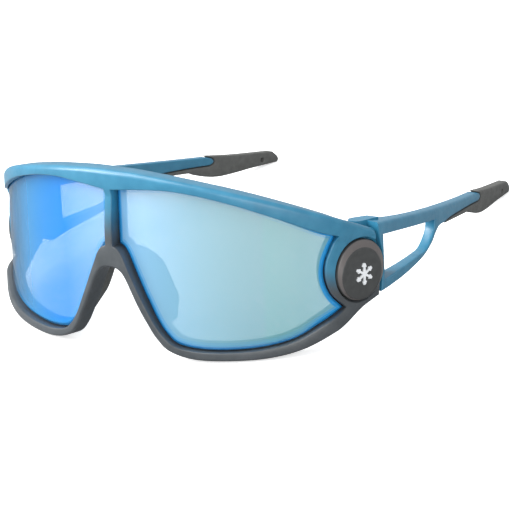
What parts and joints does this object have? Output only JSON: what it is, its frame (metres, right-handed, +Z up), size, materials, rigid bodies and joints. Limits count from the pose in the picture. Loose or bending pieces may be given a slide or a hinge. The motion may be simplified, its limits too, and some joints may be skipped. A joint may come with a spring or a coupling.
{
  "type": "glacier glasses",
  "caption": "Wraparound sports glacier glasses with mirrored lenses, round side caps and folding windowed temples with rubber tips.",
  "frame": {"origin": "middle of the base of the bounding box, on the surface that the glasses stand on", "axes": "+X to the wearer's left, +Y towards the temple tips, +Z up; the lenses face -Y"},
  "size_m": [0.1326, 0.1558, 0.0566],
  "materials": {
    "frame_blue": "satin blue moulding that fades to dark grey on the lower rims",
    "temple_blue": "satin blue moulding",
    "blue_mirror": "polycarbonate with a blue mirror coating",
    "cap_grey": "satin dark grey",
    "white_mark": "white moulded mark",
    "steel": "turned steel",
    "brass": "turned brass",
    "grey_rubber": "matt rubber"
  },
  "bodies": {
    "front": {"front_frame": "frame_blue", "lens_left": "blue_mirror", "lens_right": "blue_mirror", "disc_cap_left": "cap_grey", "disc_cap_right": "cap_grey", "disc_badge_left": "white_mark", "disc_badge_right": "white_mark", "disc_screw_left": "steel", "disc_screw_right": "steel", "nose_pad": "grey_rubber", "hinge_screw_left": "steel", "hinge_screw_right": "steel", "hinge_washer_left": "steel", "hinge_washer_right": "steel"},
    "left_temple": {"temple_left": "temple_blue", "temple_tip_left": "grey_rubber", "hinge_insert_left": "brass"},
    "right_temple": {"temple_right": "temple_blue", "temple_tip_right": "grey_rubber", "hinge_insert_right": "brass"}
  },
  "joints": [
    {"name": "left_temple_fold", "type": "hinge", "parent": "front", "child": "left_temple", "pos_m": [0.05797, -0.03135, 0.029], "axis": [0, 0.1321, 0.9912], "range_deg": [0, 86]},
    {"name": "right_temple_fold", "type": "hinge", "parent": "front", "child": "right_temple", "pos_m": [-0.05797, -0.03135, 0.029], "axis": [0, -0.1321, -0.9912], "range_deg": [0, 74]}
  ]
}
